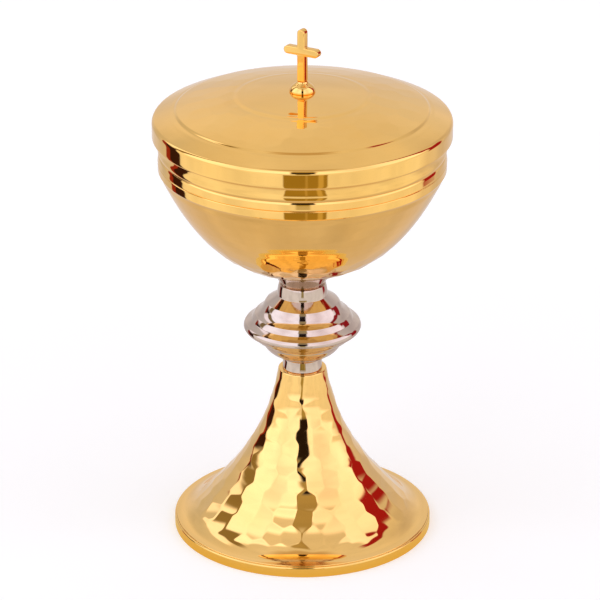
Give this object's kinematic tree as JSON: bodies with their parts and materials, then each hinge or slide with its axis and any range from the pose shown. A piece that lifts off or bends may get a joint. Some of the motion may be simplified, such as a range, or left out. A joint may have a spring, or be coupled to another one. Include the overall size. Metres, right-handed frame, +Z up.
{
  "type": "ciborium vessel",
  "caption": "Footed metal cup with a lift-off domed lid, a cross finial, a ridged knop on a short stem, and a flared hammered foot.",
  "frame": {"origin": "centre of the face that the foot rests on, on the vessel's own axis", "axes": "+Z up along the vessel's axis; +X to the right and -Y towards the viewer, with the cross's bar turned 29.7 degrees clockwise from +X seen from above"},
  "size_m": [0.125, 0.125, 0.2243],
  "materials": {
    "gold_polished": "gold plated, mirror polished",
    "gold_hammered": "gold plated, hand hammered, polished",
    "gold_matt_inside": "gold plated, satin inside",
    "nickel_bright": "nickel plated, turned and polished",
    "steel_fastener": "zinc plated steel"
  },
  "bodies": {
    "vessel": {"foot_rim_ring": "gold_polished", "foot_shell": "gold_hammered", "foot_washer": "steel_fastener", "lock_washer": "steel_fastener", "tie_nut": "steel_fastener", "tie_rod": "steel_fastener", "lower_collar": "nickel_bright", "knop_lower_shell": "nickel_bright", "knop_spacer_tube": "steel_fastener", "knop_upper_shell": "nickel_bright", "upper_collar": "nickel_bright", "bowl_boss": "steel_fastener", "bowl_shell": "gold_polished"},
    "lid": {"lid_shell": "gold_polished", "lid_locating_ring": "gold_matt_inside", "finial_button": "gold_polished", "finial_cross": "gold_polished", "finial_stud": "steel_fastener", "finial_washer": "steel_fastener", "finial_nut": "steel_fastener"}
  },
  "joints": [
    {"name": "lid_lift", "type": "slide", "parent": "vessel", "child": "lid", "axis": [0, 0, 1], "range_m": [0, 0.08]}
  ]
}
